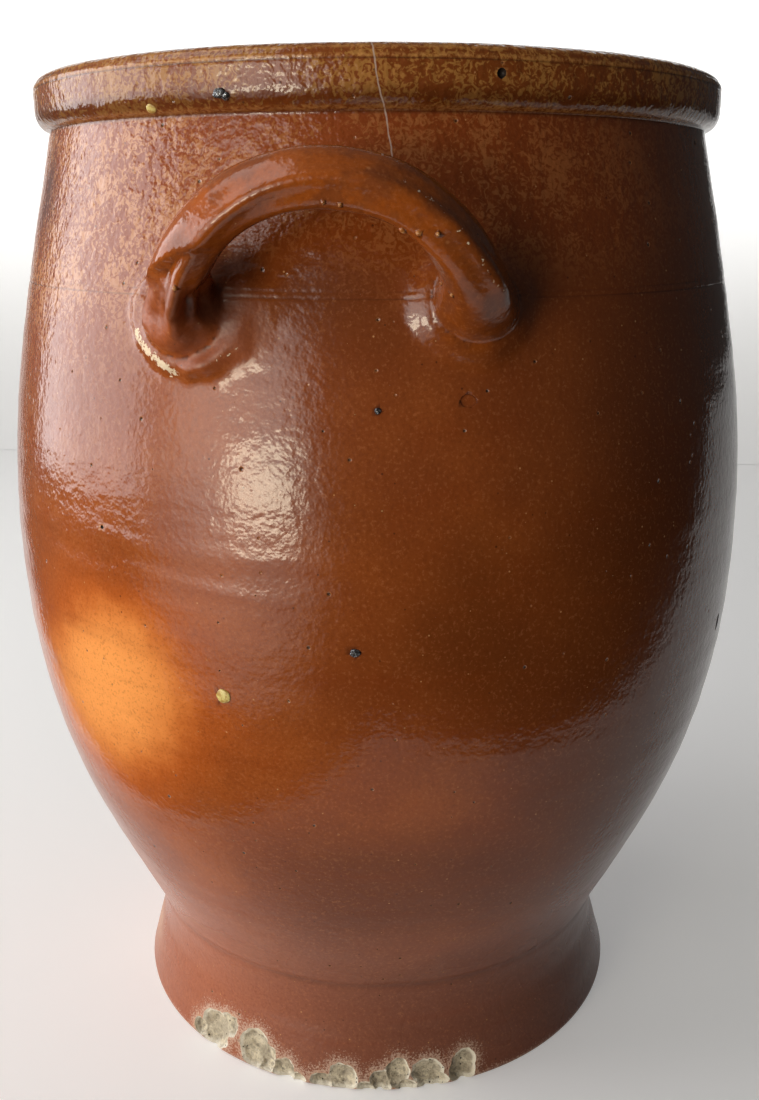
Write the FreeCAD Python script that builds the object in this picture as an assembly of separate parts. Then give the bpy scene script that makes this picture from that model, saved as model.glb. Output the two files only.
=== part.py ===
"""Large glazed stoneware confit pot: thrown body with a rolled rim and a flared foot, and two pulled handles.

The pot stands on its foot at z = 0, with its axis on Z. The handles lie on -Y and +Y. Sizes are in millimetres
and angles in degrees, counted from -Y towards +X.
"""

import FreeCAD, Part

import math
import os

from FreeCAD import Vector

# Body, outside
pot_height = 420.0
foot_radius = 119.7
foot_edge_round = 2.5
foot_flare_height = 25.0
foot_flare_radius = 112.9
waist_height = 38.0
waist_radius = 111.6
crease_height = 56.5
crease_radius = 115.2
belly_height = 232.5
belly_radius = 162.9
neck_radius = 136.4

# Body, inside
wall = 10.0
lower_wall = 13.0
base_thickness = 16.0
floor_corner_round = 40.0

# Shape of the outline: lean of the wall from vertical, and how far each curve runs straight before it turns,
# as a share of the height that the curve spans
crease_lean = 24.5
neck_lean = 13.2
lower_start_run = 0.31
lower_end_run = 0.47
upper_start_run = 0.33
upper_end_run = 0.40

# Rim
rim_height = 19.5
rim_overhang = 5.4
lip_outer_round = 5.2
lip_inner_round = 5.0
rim_line_depth = 0.4
rim_line_width = 1.4

# Pair of lines cut into the shoulder, measured down from the lip
shoulder_line_drop = 77.0
shoulder_line_gap = 2.1
shoulder_line_depth = 0.5
shoulder_line_width = 1.1

# Handles: path of the middle of the roll. The left root is pressed on lower than the right one
right_root_side = 44.5
right_root_drop = 79.0
left_root_side = 48.5
left_root_drop = 83.0
arch_drop = 41.0
arch_reach = 35.0
arch_run = 32.0
root_out = 27.0
root_up = 13.0
root_splay = 4.0
root_bed = 13.0

# Handles: section of the roll, thick away from the middle of the loop and wide across it
grip_thick = 17.0
grip_wide = 19.0
limb_thick = 20.5
limb_wide = 20.0
right_root_thick = 38.0
right_root_wide = 33.0
left_root_thick = 45.0
left_root_wide = 37.0
ridge_height = 2.8
ridge_turn = 30.0
facet_hollow = 0.7
section_points = 8

# Places of the sections along each half of a handle, from its root at 0 to the top of the arch at 1, and how
# quickly the root's flare and the limb's swelling die away along it
handle_stations = (0.0, 0.14, 0.36, 0.68)
flare_power = 5
limb_power = 2

# Chips broken from the foot's edge: angle, height of the middle, width and bite
foot_chips = [
    (-37.5, 9.0, 17.0, 3.8),
    (-31.5, 10.0, 19.0, 4.4),
    (-22.0, 11.5, 18.0, 3.8),
    (-20.5, 2.5, 15.0, 3.2),
    (-14.5, 5.0, 13.0, 2.8),
    (-3.5, 6.5, 18.5, 3.2),
    (1.5, 1.0, 11.0, 2.2),
    (9.0, 8.0, 17.5, 3.4),
    (13.0, 3.0, 10.0, 2.6),
    (18.0, 9.5, 17.0, 2.8),
    (18.5, 1.5, 14.0, 2.4),
    (25.0, 7.0, 17.0, 3.6),
]

# Worked out from the sizes above
neck_height = pot_height - rim_height
rim_radius = neck_radius + rim_overhang
mouth_radius = neck_radius - wall
lip_flat_outer = rim_radius - lip_outer_round
lip_flat_inner = mouth_radius + lip_inner_round
shoulder_line_height = pot_height - shoulder_line_drop
rim_line_height = pot_height - lip_outer_round
arch_height = pot_height - arch_drop

# Halvings that find the wall's radius at a height to a hundredth of a micrometre
halvings = 36


def on_profile(radius, height):
    """Point of the half section, in the XZ plane."""
    return Vector(radius, 0, height)


def leaning(point, lean, length):
    """Point at a distance up along a wall that leans out from vertical by lean degrees."""
    turn = math.radians(lean)
    return point + Vector(math.sin(turn), 0, math.cos(turn)) * length


def bezier(*poles):
    curve = Part.BezierCurve()
    curve.setPoles(list(poles))
    return curve


def line(start, end):
    return Part.LineSegment(start, end).toShape()


def quarter_arc(start, end, centre):
    """Quarter of a circle from start to end, about a centre level with one of them and in line with the other."""
    radius = (start - centre).Length
    middle = centre + (start + end - centre * 2).normalize() * radius
    return Part.Arc(start, middle, end).toShape()


def arc_to_upright(low, high):
    """Arc between two points that stands upright at the narrower one of them."""
    near, far = (low, high) if low.x < high.x else (high, low)
    across, up = far.x - near.x, abs(far.z - near.z)
    radius = (across**2 + up**2) / (2 * across)
    centre = near + Vector(radius, 0, 0)
    middle = centre + ((near + far) * 0.5 - centre).normalize() * radius
    return Part.Arc(low, middle, high).toShape()


def lower_wall_curve(inset_low, inset_belly):
    """Wall from the crease up to the belly. The insets move it in by a wall's thickness."""
    rise = belly_height - crease_height
    low = on_profile(crease_radius - inset_low, crease_height)
    belly = on_profile(belly_radius - inset_belly, belly_height)
    return bezier(
        low,
        leaning(low, crease_lean, rise * lower_start_run),
        belly - Vector(0, 0, rise * lower_end_run),
        belly,
    )


def upper_wall_curve(inset):
    """Wall from the belly up to the neck, under the rim."""
    rise = neck_height - belly_height
    belly = on_profile(belly_radius - inset, belly_height)
    neck = on_profile(neck_radius - inset, neck_height)
    return bezier(
        belly,
        belly + Vector(0, 0, rise * upper_start_run),
        leaning(neck, -neck_lean, -rise * upper_end_run),
        neck,
    )


def foot_wall():
    """Outline points of the foot: lower end of its flare, end of the straight flare, waist and crease."""
    slope = (foot_radius - foot_flare_radius) / foot_flare_height
    return (
        on_profile(foot_radius - foot_edge_round * slope, foot_edge_round),
        on_profile(foot_flare_radius, foot_flare_height),
        on_profile(waist_radius, waist_height),
        on_profile(crease_radius, crease_height),
    )


def revolved(edges):
    """Solid of revolution about Z of a half section, whose edges follow each other."""
    face = Part.Face(Part.Wire(edges))
    return face.revolve(Vector(0, 0, 0), Vector(0, 0, 1), 360)


def outer_body():
    """Body filled solid: foot, belly, neck and rolled rim."""
    foot_start, flare_end, waist, crease = foot_wall()
    foot_flat = on_profile(foot_start.x - foot_edge_round, 0)
    neck = on_profile(neck_radius, neck_height)
    rim_low = on_profile(rim_radius, neck_height + rim_overhang)
    rim_high = on_profile(rim_radius, rim_line_height)
    lip = on_profile(lip_flat_outer, pot_height)
    top_middle = on_profile(0, pot_height)
    base_middle = on_profile(0, 0)
    return revolved(
        [
            line(base_middle, foot_flat),
            quarter_arc(foot_flat, foot_start, on_profile(foot_flat.x, foot_start.z)),
            line(foot_start, flare_end),
            arc_to_upright(flare_end, waist),
            arc_to_upright(waist, crease),
            lower_wall_curve(0, 0).toShape(),
            upper_wall_curve(0).toShape(),
            quarter_arc(neck, rim_low, on_profile(neck.x, rim_low.z)),
            line(rim_low, rim_high),
            quarter_arc(rim_high, lip, on_profile(lip.x, rim_high.z)),
            line(lip, top_middle),
            line(top_middle, base_middle),
        ]
    )


def cavity():
    """Inside of the pot, from its floor to the mouth, with the rounded inner edge of the lip."""
    floor_middle = on_profile(0, base_thickness)
    low = on_profile(crease_radius - lower_wall, crease_height)
    lean = math.radians(crease_lean)
    corner_top_height = base_thickness + floor_corner_round * (1 - math.sin(lean))
    corner_top = leaning(low, crease_lean, (corner_top_height - crease_height) / math.cos(lean))
    floor_edge = on_profile(corner_top.x - floor_corner_round * math.cos(lean), base_thickness)
    corner_centre = floor_edge + Vector(0, 0, floor_corner_round)
    corner_turn = math.radians(90 - crease_lean) / 2
    outward_down = Vector(math.sin(corner_turn), 0, -math.cos(corner_turn))
    corner_middle = corner_centre + outward_down * floor_corner_round
    neck = on_profile(mouth_radius, neck_height)
    lip_low = on_profile(mouth_radius, pot_height - lip_inner_round)
    lip_top = on_profile(lip_flat_inner, pot_height)
    above = on_profile(lip_flat_inner, pot_height + wall)
    above_middle = on_profile(0, pot_height + wall)
    return revolved(
        [
            line(floor_middle, floor_edge),
            Part.Arc(floor_edge, corner_middle, corner_top).toShape(),
            line(corner_top, low),
            lower_wall_curve(lower_wall, wall).toShape(),
            upper_wall_curve(wall).toShape(),
            line(neck, lip_low),
            quarter_arc(lip_low, lip_top, on_profile(lip_top.x, lip_low.z)),
            line(lip_top, above),
            line(above, above_middle),
            line(above_middle, floor_middle),
        ]
    )


def wall_radius(height):
    """Outer radius of the body between the crease and the neck, found by halving."""
    curve = lower_wall_curve(0, 0) if height < belly_height else upper_wall_curve(0)
    low, high = 0.0, 1.0
    for _ in range(halvings):
        middle = (low + high) / 2
        if curve.value(middle).z < height:
            low = middle
        else:
            high = middle
    return curve.value(low).x


def foot_flare_at(height):
    """Outer radius of the straight flare of the foot."""
    return foot_radius - (foot_radius - foot_flare_radius) * height / foot_flare_height


def cut_line(radius, height, depth, width):
    """Ring with a V section that cuts a line into a wall of this radius."""
    inner = on_profile(radius - depth, height)
    upper = on_profile(radius + depth, height + width)
    lower = on_profile(radius + depth, height - width)
    return revolved([line(inner, upper), line(upper, lower), line(lower, inner)])


def decorating_lines():
    """Two lines on the shoulder and one under the bevel of the lip."""
    rings = [cut_line(rim_radius, rim_line_height, rim_line_depth, rim_line_width)]
    for height in (shoulder_line_height, shoulder_line_height + shoulder_line_gap):
        rings.append(cut_line(wall_radius(height), height, shoulder_line_depth, shoulder_line_width))
    return rings


def around(radius, angle, height):
    """Point at a radius and height, at an angle from -Y towards +X."""
    turn = math.radians(angle)
    return Vector(radius * math.sin(turn), -radius * math.cos(turn), height)


def chip(angle, height, width, bite):
    """Ball that scoops a shell-shaped chip of this width and depth out of the foot's edge."""
    ball = (width * width / 4 + bite * bite) / (2 * bite)
    middle = around(foot_flare_at(height) + ball - bite, angle, height)
    return Part.makeSphere(ball, middle)


def handle_half(side_length, drop, side):
    """Middle of the roll from a root on the wall to the top of the arch. Side is 1 on the right and -1 on the left."""
    root_height = pot_height - drop
    root_y = -math.sqrt(wall_radius(root_height) ** 2 - side_length**2)
    root = Vector(side * side_length, root_y, root_height)
    top = Vector(0, -wall_radius(arch_height) - arch_reach, arch_height)
    return bezier(
        root,
        root + Vector(side * root_splay, -root_out, root_up),
        top + Vector(side * arch_run, 0, 0),
        top,
    )


def roll_section(middle, out, across, thick, wide, ridge):
    """Closed curve round the roll: thick along out, wide along across, with a ridge between two flatter faces."""
    lifts = [0.0] * section_points
    lifts[0] = ridge_height * ridge
    lifts[1] = lifts[-1] = -facet_hollow * ridge
    points = []
    for k, lift in enumerate(lifts):
        turn = math.radians(ridge_turn) + 2 * math.pi * k / section_points
        along_out = out * (math.cos(turn) * (thick / 2 + lift))
        along_across = across * (math.sin(turn) * (wide / 2 + lift))
        points.append(middle + along_out + along_across)
    curve = Part.BSplineCurve()
    curve.interpolate(Points=points, PeriodicFlag=True)
    return Part.Wire(curve.toShape())


def half_sections(half, side, root_thick, root_wide):
    """Sections of one half of the roll, from the one sunk in the wall to the last before the top."""
    root = half.value(0)
    loop_middle = Vector(0, root.y, root.z)
    sections = [
        roll_section(root + Vector(0, root_bed, 0), Vector(side, 0, 0), Vector(0, 0, -1), root_thick, root_wide, 0)
    ]
    for place in handle_stations:
        middle = half.value(place)
        along = half.tangent(place)[0]
        out = middle - loop_middle
        out = (out - along * out.dot(along)).normalize()
        across = out.cross(along) * side
        flare = (1 - place) ** flare_power
        limb = (1 - place) ** limb_power
        thick = grip_thick + (limb_thick - grip_thick) * limb + (root_thick - limb_thick) * flare
        wide = grip_wide + (limb_wide - grip_wide) * limb + (root_wide - limb_wide) * flare
        sections.append(roll_section(middle, out, across, thick, wide, place))
    return sections


def handle():
    """Pulled roll that leaves the shoulder at two flared roots and arches up and out, on the -Y side."""
    right = handle_half(right_root_side, right_root_drop, 1)
    left = handle_half(left_root_side, left_root_drop, -1)
    top = right.value(1)
    out = (top - Vector(0, right.value(0).y, right.value(0).z)).normalize()
    top_section = roll_section(top, out, Vector(-1, 0, 0).cross(out) * -1, grip_thick, grip_wide, 1)
    sections = half_sections(right, 1, right_root_thick, right_root_wide)
    sections.append(top_section)
    sections += reversed(half_sections(left, -1, left_root_thick, left_root_wide))
    return Part.makeLoft(sections, True, False)


def build_pot():
    """Body and handles joined, then hollowed, so that no root shows inside, then lined and chipped."""
    front = handle()
    back = front.copy()
    back.rotate(Vector(0, 0, 0), Vector(0, 0, 1), 180)
    pot = outer_body().fuse([front, back])
    pot = pot.cut(cavity())
    pot = pot.cut(decorating_lines())
    pot = pot.cut([chip(*values) for values in foot_chips])
    return pot.removeSplitter()


def main():
    os.makedirs("parts", exist_ok=True)
    pot = build_pot()
    print("pot", pot.ShapeType, "solids", len(pot.Solids), "valid", pot.isValid())
    print("volume", round(pot.Volume), "box", pot.BoundBox)
    pot.Solids[0].exportStep("parts/pot.step")


main()
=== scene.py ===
import math

import bmesh
import bpy
import numpy as np
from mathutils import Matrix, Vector
from mathutils.bvhtree import BVHTree
from mathutils.kdtree import KDTree


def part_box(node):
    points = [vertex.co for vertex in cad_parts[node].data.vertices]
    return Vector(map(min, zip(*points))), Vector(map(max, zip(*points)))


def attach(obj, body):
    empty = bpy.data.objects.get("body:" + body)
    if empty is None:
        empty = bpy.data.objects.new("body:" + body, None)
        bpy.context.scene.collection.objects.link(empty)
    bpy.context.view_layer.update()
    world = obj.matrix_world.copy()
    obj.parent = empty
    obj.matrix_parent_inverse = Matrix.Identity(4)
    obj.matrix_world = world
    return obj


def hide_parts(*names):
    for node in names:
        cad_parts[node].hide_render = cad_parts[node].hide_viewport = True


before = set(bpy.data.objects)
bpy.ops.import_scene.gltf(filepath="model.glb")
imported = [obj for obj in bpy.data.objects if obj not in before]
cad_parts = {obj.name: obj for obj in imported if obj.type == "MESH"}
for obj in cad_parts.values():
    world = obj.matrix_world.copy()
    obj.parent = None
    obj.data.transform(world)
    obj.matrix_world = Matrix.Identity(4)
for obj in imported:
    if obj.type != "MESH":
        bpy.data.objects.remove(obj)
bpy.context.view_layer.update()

# Lengths are worked out in millimetres, and meshes are made in metres
MM = 0.001

# Body, with the height and the belly that the frame gives
pot_low, pot_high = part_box("pot")
pot_height = pot_high.z / MM
belly_radius = pot_high.x / MM
foot_radius = 119.7
foot_edge_round = 2.5
foot_flare_height = 25.0
foot_flare_radius = 112.9
waist_height = 38.0
waist_radius = 111.6
waist_lean = 19.0
crease_height = 56.5
crease_radius = 115.2
crease_line_height = 51.0
belly_height = 232.5
neck_radius = 136.4
crease_lean = 24.5
neck_lean = 13.2
lower_start_run = 0.31
lower_end_run = 0.47
upper_start_run = 0.33
upper_end_run = 0.40

# Inside
wall = 10.0
lower_wall = 13.0
base_thickness = 16.0
floor_corner_radius = 58.0

# Rim
rim_height = 19.5
rim_overhang = 5.4
rim_under_round = 7.0
lip_bevel_width = 6.4
lip_bevel_height = 5.2
lip_inner_round = 5.0
neck_height = pot_height - rim_height
rim_radius = neck_radius + rim_overhang
mouth_radius = neck_radius - wall
rim_line_height = pot_height - lip_bevel_height

# Lines cut into the wall: height, depth and half width
cut_lines = [
    (pot_height - 77.0, 0.24, 0.8),
    (pot_height - 74.9, 0.20, 0.8),
    (rim_line_height, 0.35, 0.7),
    (rim_line_height + 2.6, 0.2, 0.6),
]

# Handles: path of the middle of the roll, as in the frame
right_root = (44.5, pot_height - 79.0)
left_root = (-48.5, pot_height - 83.0)
arch_height = pot_height - 41.0
arch_reach = 35.0
arch_run = 32.0
root_out = 27.0
root_up = 13.0
root_splay = 4.0

# Camera, solved from the outline of the pot in the photograph
picture_width = 759
picture_height = 1100
focal_pixels = 1099.05
middle_pixel = (377.5, 565.6)
camera_tilt = math.radians(17.76)
camera_turn = math.radians(5.45)
camera_reach = 509.9
camera_height = 369.2
camera_place = np.array(
    [camera_reach * math.sin(camera_turn), -camera_reach * math.cos(camera_turn), camera_height]
)

# Materials of the pot's mesh, by index
GLAZE, CLAY, DARK, SLAG, FLECK = range(5)


def blend(a, b, share):
    return a + (b - a) * share


def smooth_step(low, high, value):
    """0 below low, 1 above high and a soft rise between."""
    share = np.clip((value - low) / (high - low), 0, 1)
    return share * share * (3 - 2 * share)


def hump(value, middle, width):
    """Bell of height 1 about middle."""
    return np.exp(-(((value - middle) / width) ** 2))


def soft_noise(points, size, seed):
    """Smooth noise from -1 to 1 at each point, with features about size across."""
    place = points / size + 11.3 * seed
    cell = np.floor(place).astype(np.int64)
    share = place - cell
    share = share * share * (3 - 2 * share)
    total = np.zeros(len(points))
    for corner in np.ndindex(2, 2, 2):
        c = cell + corner
        mixed = (c[:, 0] * 73856093) ^ (c[:, 1] * 19349663) ^ (c[:, 2] * 83492791) ^ (seed * 40503)
        mixed = ((mixed ^ (mixed >> 13)) * 1274126177) & 0xFFFFFFFF
        value = ((mixed ^ (mixed >> 15)) & 0xFFFF) / 32767.5 - 1
        near = np.where(np.array(corner) == 1, share, 1 - share).prod(axis=1)
        total += value * near
    return total


def layered_noise(points, size, seed, layers=3):
    """Noise with finer and weaker layers added."""
    total = np.zeros(len(points))
    for k in range(layers):
        total += soft_noise(points, size / 2**k, seed + k) / 2**k
    return total


def turned_from(degrees, middle):
    """Turn from middle, between -180 and 180 degrees."""
    return (degrees - middle + 180) % 360 - 180


def bezier(p0, p1, p2, p3, share):
    """Points of a cubic curve at each share of the way."""
    p0, p1, p2, p3 = (np.array(p, dtype=float) for p in (p0, p1, p2, p3))
    t = np.asarray(share, dtype=float)[:, None]
    return (1 - t) ** 3 * p0 + 3 * (1 - t) ** 2 * t * p1 + 3 * (1 - t) * t**2 * p2 + t**3 * p3


def lean_off(point, degrees, length):
    """Point at a distance along a wall that leans out from upright."""
    turn = math.radians(degrees)
    return (point[0] + math.sin(turn) * length, point[1] + math.cos(turn) * length)


def lower_wall_points(inset_low, inset_belly):
    rise = belly_height - crease_height
    low = (crease_radius - inset_low, crease_height)
    belly = (belly_radius - inset_belly, belly_height)
    start = lean_off(low, crease_lean, rise * lower_start_run)
    end = (belly[0], belly_height - rise * lower_end_run)
    return bezier(low, start, end, belly, np.linspace(0, 1, 200))


def upper_wall_points(inset):
    rise = neck_height - belly_height
    belly = (belly_radius - inset, belly_height)
    neck = (neck_radius - inset, neck_height)
    start = (belly[0], belly_height + rise * upper_start_run)
    end = lean_off(neck, -neck_lean, -rise * upper_end_run)
    return bezier(belly, start, end, neck, np.linspace(0, 1, 200))


def ellipse_points(centre, across, up, start, end):
    """Part of an ellipse about centre, from start to end degrees, with 0 outward and 90 up."""
    turn = np.radians(np.linspace(start, end, 40))
    return np.stack([centre[0] + across * np.cos(turn), centre[1] + up * np.sin(turn)], 1)


def foot_slope():
    """How far the straight flare of the foot comes in for each millimetre up."""
    return (foot_radius - foot_flare_radius) / foot_flare_height


def waist_points():
    """Foot from the end of its straight flare in to the waist and out to the crease."""
    flare = (foot_flare_radius, foot_flare_height)
    flare_end = (flare[0] - foot_slope() * 5, flare[1] + 5)
    waist = (waist_radius, waist_height)
    crease = (crease_radius, crease_height)
    share = np.linspace(0, 1, 40)
    inner = bezier(flare, flare_end, (waist[0], waist[1] - 6), waist, share)
    outer = bezier(waist, (waist[0], waist[1] + 7), lean_off(crease, waist_lean, -6.0), crease, share)
    return np.vstack([inner, outer[1:]])


def outside_outline():
    """Half section of the outside, from the middle of the base to the top of the lip."""
    foot_start = (foot_radius - foot_edge_round * foot_slope(), foot_edge_round)
    flat_edge = (foot_start[0] - foot_edge_round, 0.0)
    base = np.stack([np.linspace(0, flat_edge[0], 60), np.zeros(60)], 1)
    edge = ellipse_points((flat_edge[0], foot_edge_round), foot_edge_round, foot_edge_round, -90, 0)
    flare = np.linspace(foot_start, (foot_flare_radius, foot_flare_height), 60)
    under_middle = (neck_radius, neck_height + rim_under_round)
    under = ellipse_points(under_middle, rim_overhang, rim_under_round, -90, 0)
    band = np.linspace(under[-1], (rim_radius, rim_line_height), 20)
    bevel_middle = (rim_radius - lip_bevel_width, rim_line_height)
    bevel = ellipse_points(bevel_middle, lip_bevel_width, lip_bevel_height, 0, 90)
    walls = [lower_wall_points(0, 0), upper_wall_points(0)]
    return joined([base, edge, flare, waist_points(), *walls, under, band, bevel])


def joined(pieces):
    """One outline of pieces that each start where the one before ends."""
    return np.vstack([pieces[0]] + [p[1:] for p in pieces[1:]])


def inside_outline():
    """Half section of the inside, from the top of the lip down to the middle of the floor."""
    lip_edge = mouth_radius + lip_inner_round
    lip_middle = (lip_edge, pot_height - lip_inner_round)
    flat = np.linspace((rim_radius - lip_bevel_width, pot_height), (lip_edge, pot_height), 10)
    lip = ellipse_points(lip_middle, lip_inner_round, lip_inner_round, 90, 180)
    throat = np.linspace(lip[-1], (mouth_radius, neck_height), 20)
    low = (crease_radius - lower_wall, crease_height)
    floor_edge = (floor_corner_radius, base_thickness)
    corner_start = lean_off(low, crease_lean, -24.0)
    corner_end = (floor_edge[0] + 22.0, base_thickness)
    corner = bezier(low, corner_start, corner_end, floor_edge, np.linspace(0, 1, 60))
    floor = np.linspace(floor_edge, (0.0, base_thickness), 30)
    walls = [upper_wall_points(wall)[::-1], lower_wall_points(lower_wall, wall)[::-1]]
    return joined([flat, lip, throat, *walls, corner, floor])


def spread(points, spacing):
    """Points along an outline, as far apart as spacing says at each place."""
    steps = np.linalg.norm(np.diff(points, axis=0), axis=1)
    middles = (points[1:] + points[:-1]) / 2
    count = np.concatenate([[0], np.cumsum(steps / spacing(middles))])
    places = np.linspace(0, count[-1], int(round(count[-1])) + 1)
    return np.stack([np.interp(places, count, points[:, k]) for k in (0, 1)], 1)


def outside_spacing(middles):
    """Rows lie close at the foot's edge, the cut lines, the handle roots and the rim."""
    r, z = middles[:, 0], middles[:, 1]
    gap = np.full(len(middles), 3.2)
    gap[z > 300] = 2.4
    gap[(z > 312) & (z < 368)] = 1.5
    gap[(z > 236) & (z < 276)] = 1.7
    gap[z < 60] = 2.1
    gap[np.abs(z - crease_line_height) < 5] = 1.1
    gap[z > neck_height - 4] = 1.1
    for height, _, half in cut_lines:
        gap[np.abs(z - height) < half * 2] = 0.45
    gap[z < foot_edge_round + 2] = 1.0
    gap[(z < 0.01) & (r < foot_radius - 8)] = 14.0
    return gap


def inside_spacing(middles):
    z = middles[:, 1]
    gap = np.full(len(middles), 9.0)
    gap[z > neck_height] = 2.2
    gap[z < base_thickness + 0.01] = 14.0
    return gap


def column_angles():
    """Angles of the columns from -Y towards +X, close together at the handle roots."""
    turn = np.linspace(-180, 180, 3601)
    gap = np.full(len(turn), 2.0)
    gap[np.abs(turn) < 42] = 1.1
    gap[np.abs(turn) > 150] = 1.5
    gap[(turn > -31) & (turn < -8)] = 0.6
    gap[(turn > 8) & (turn < 27)] = 0.65
    step = 360 / (len(turn) - 1)
    count = np.concatenate([[0], np.cumsum(step / gap[1:])])
    places = np.linspace(0, count[-1], int(round(count[-1])) + 1)[:-1]
    return np.interp(places, count, turn)


def wall_radius_at(height):
    """Outer radius of the wall at a height."""
    outline = upper_wall_points(0) if height > belly_height else lower_wall_points(0, 0)
    return float(np.interp(height, outline[:, 1], outline[:, 0]))


# Clay pressed on the wall at each root: side, half width, half height, lift and how torn the front one is
root_pads = [
    (right_root, 19.0, 17.0, 4.2, 0.0),
    (left_root, 23.5, 19.5, 4.2, 1.0),
]


def pad_lift(across, up, half_wide, half_high, lift, torn, side):
    """Height of a pressed pad, at a distance across and up the wall from its middle."""
    points = np.stack([across, up, np.zeros(len(up))], 1)
    ring = np.hypot(across / half_wide, up / half_high)
    ring = ring * (1 + 0.06 * soft_noise(points, 9.0, 5) + 0.06 * torn * soft_noise(points, 4.0, 9))
    spin = np.degrees(np.arctan2(up, across))
    steep = blend(0.10, 0.04 + 0.14 * hump(spin, 15, 50), torn)
    inside = 1 / (1 + np.exp((ring - 1) / steep))
    welt_turn = -125.0 if side > 0 else -70.0
    welt_spread = blend(80, 48, torn)
    welt = 1.5 * hump(ring, 0.88, 0.11) * hump(turned_from(spin, welt_turn), 0, welt_spread)
    folds = np.stack([np.radians(spin) * 7, ring * 2, np.zeros(len(up))], 1)
    wrinkles = torn * np.clip(1.15 - ring, 0, 1) * 1.8 * soft_noise(folds, 2.0, 21)
    dimples = 0.35 * layered_noise(points, 6.0, 31, 2)
    return (lift + welt + wrinkles + dimples) * inside


def crease_wander(level):
    """How far the crease line above the foot runs off its height."""
    return 1.6 * soft_noise(level, 50.0, 12) + 0.5 * soft_noise(level, 14.0, 14)


def thrown_lift(around, angle, z):
    """Throwing rings, slow waves in the wall, and slanted ridges on the left of the belly."""
    stretched = around * np.array([0.03, 0.03, 1.0])
    ring_depth = 0.11 + 0.05 * hump(z, 250, 14) + 0.08 * hump(z, 178, 22)
    lift = ring_depth * soft_noise(stretched, 6.5, 1)
    lift += 0.06 * soft_noise(stretched, 2.4, 2)
    lift += 0.40 * soft_noise(around, 95.0, 3) + 0.12 * soft_noise(around, 24.0, 4)
    slanted = z + 0.36 * (angle + 42)
    ridges = hump(slanted, 256, 11) * smooth_step(8, -30, angle) * smooth_step(-95, -70, angle)
    lift += 0.24 * ridges * soft_noise(np.stack([slanted, angle * 0.03, angle * 0], 1), 2.3, 17)
    lift *= smooth_step(1.0, 6.0, z)
    return lift


def outside_lift(angle, r, z):
    """How far each point of the outside stands off the true outline."""
    turn = np.radians(angle)
    around = np.stack([r * np.sin(turn), -r * np.cos(turn), z], 1)
    lift = thrown_lift(around, angle, z)
    level = around * np.array([1.0, 1.0, 0.0])
    crease_depth = 0.4 + 0.15 * soft_noise(level, 25.0, 13)
    lift -= crease_depth * hump(z, crease_line_height + crease_wander(level), 2.2)
    for height, depth, half in cut_lines:
        wander = 0.25 * soft_noise(level, 60.0, 6)
        filled = 0.75 + 0.25 * soft_noise(level, 35.0, 7)
        lift -= depth * filled * np.clip(1 - np.abs(z - height - wander) / half, 0, 1)
    for facing in (0.0, 180.0):
        for (side, height), half_wide, half_high, pad, torn in root_pads:
            root_angle = math.degrees(math.asin(side / wall_radius_at(height))) + facing
            across = r * np.radians(turned_from(angle, root_angle))
            up = z - height
            near = np.hypot(across / half_wide, up / half_high) < 1.7
            front_torn = torn if facing == 0.0 else 0.0
            lift[near] += pad_lift(across[near], up[near], half_wide, half_high, pad, front_torn, side)
    return lift


def body_faces(row_count, columns, base_middle, floor_middle):
    """Faces between the rows, and fans to the middle points of the base and the floor."""
    column = np.arange(columns)
    after = (column + 1) % columns
    start = (np.arange(row_count - 1) * columns)[:, None]
    corners = [start + column, start + after, start + columns + after, start + columns + column]
    last = (row_count - 1) * columns
    fans = [(base_middle, int(n), int(c)) for c, n in zip(column, after)]
    fans += [(floor_middle, int(last + c), int(last + n)) for c, n in zip(column, after)]
    return np.stack(corners, 2).reshape(-1, 4).tolist() + fans


def body_mesh():
    """Closed body: rows of points up the outside and down the inside, with middle points at both ends."""
    rows_outside = spread(outside_outline(), outside_spacing)
    rows_inside = spread(inside_outline(), inside_spacing)
    angles = column_angles()
    columns = len(angles)
    rows = np.vstack([rows_outside[1:], rows_inside[1:-1]])
    tangent = np.gradient(np.vstack([rows_outside[:1], rows, rows_inside[-1:]]), axis=0)[1:-1]
    normal = np.stack([tangent[:, 1], -tangent[:, 0]], 1)
    normal /= np.linalg.norm(normal, axis=1)[:, None]
    r = np.repeat(rows[:, 0], columns)
    z = np.repeat(rows[:, 1], columns)
    angle = np.tile(angles, len(rows))
    outside = np.repeat(np.arange(len(rows)) < len(rows_outside) - 1, columns)
    lift = np.where(outside & (z > 0.01), outside_lift(angle, r, z), 0.0)
    turn = np.radians(angle)
    inner_place = np.stack([r * np.sin(turn) * 0.03, -r * np.cos(turn) * 0.03, z], 1)
    inner_rings = 0.25 * soft_noise(inner_place, 9.0, 8)
    inner_wall = ~outside & (z > base_thickness + 4) & (z < neck_height)
    lift = np.where(inner_wall, inner_rings, lift)
    r = r + lift * np.repeat(normal[:, 0], columns)
    z = np.maximum(z + lift * np.repeat(normal[:, 1], columns), 0.0)
    points = np.stack([r * np.sin(turn), -r * np.cos(turn), z], 1)
    points = np.vstack([points, [0, 0, 0], [0, 0, base_thickness]])
    return points, body_faces(len(rows), columns, len(points) - 2, len(points) - 1)


def mesh_object(name, points, faces, material_index=GLAZE):
    """Closed object of a mesh given in millimetres, with its faces turned outward."""
    mesh = bpy.data.meshes.new(name)
    mesh.from_pydata((np.asarray(points) * MM).tolist(), [], faces)
    shape = bmesh.new()
    shape.from_mesh(mesh)
    bmesh.ops.recalc_face_normals(shape, faces=shape.faces)
    shape.to_mesh(mesh)
    shape.free()
    for material in materials:
        mesh.materials.append(material)
    mesh.polygons.foreach_set("material_index", np.full(len(faces), material_index, dtype=np.int32))
    made = bpy.data.objects.new(name, mesh)
    bpy.context.scene.collection.objects.link(made)
    return made


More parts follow.
